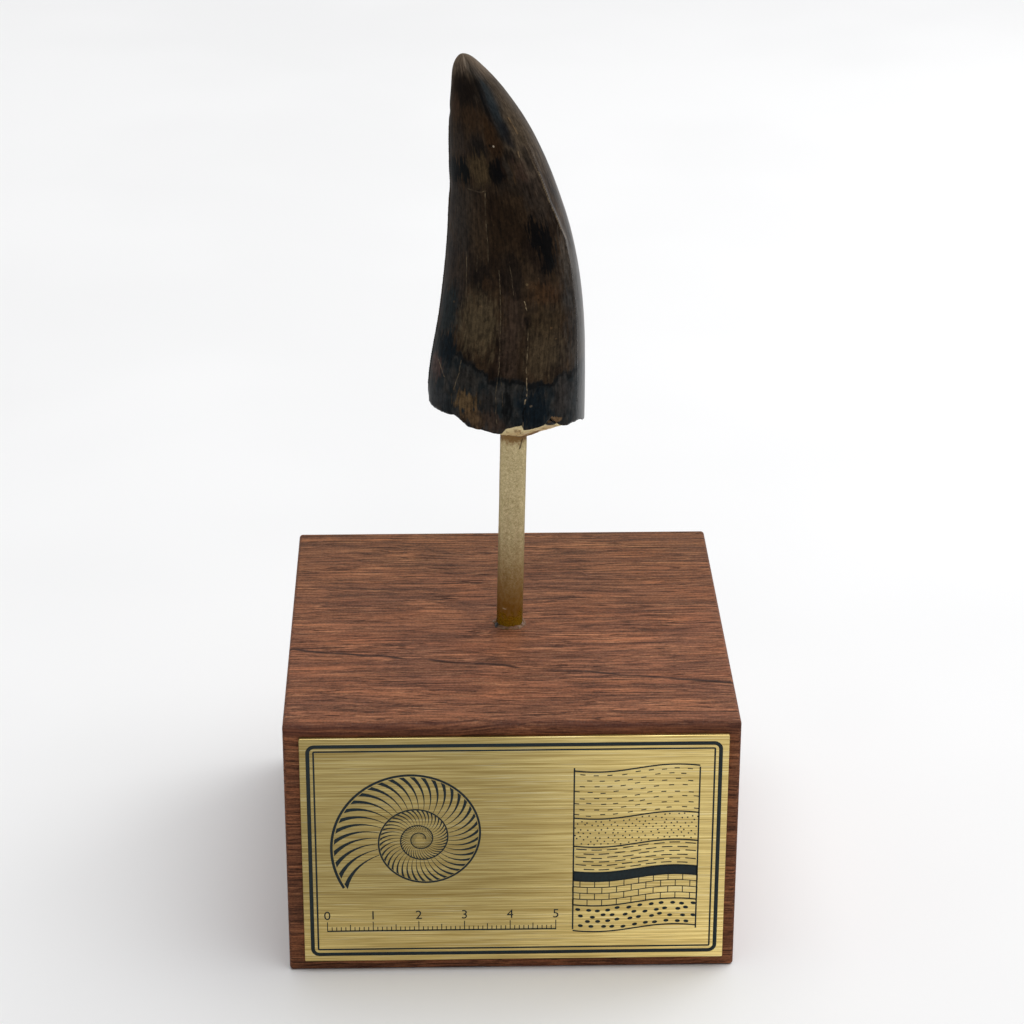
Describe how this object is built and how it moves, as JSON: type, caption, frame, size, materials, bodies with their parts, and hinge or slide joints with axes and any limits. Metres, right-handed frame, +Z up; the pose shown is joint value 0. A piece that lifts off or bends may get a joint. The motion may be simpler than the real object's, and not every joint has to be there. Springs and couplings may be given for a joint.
{
  "type": "fossil tyrannosaur tooth on a stand",
  "caption": "Curved, tapering fossil tooth crown with a chipped base, held upright on a gold rod above a square wooden block with an engraved brass plate on its front.",
  "frame": {"origin": "middle of the wooden block's flat underside", "axes": "+Z up along the tooth's length; +X to the right when facing the plate, towards the tooth's convex fore edge; -Y out of the plate on the block's front"},
  "size_m": [0.098, 0.0991, 0.1939],
  "materials": {
    "enamel": "fossil enamel, dark brown to blue-black, semi-gloss with fine cracks",
    "putty": "hardened putty painted matte pale gold",
    "gold_paint": "metallic gold paint with a fine grain",
    "glue": "clear glossy glue over wood",
    "wood": "reddish-brown hardwood, oiled satin, grain from side to side",
    "brass": "brushed from side to side, engraved lines filled dark"
  },
  "bodies": {
    "root": {"tooth": "enamel", "putty": "putty", "rod": "gold_paint", "glue": "glue", "block": "wood", "plaque": "brass"}
  },
  "joints": []
}
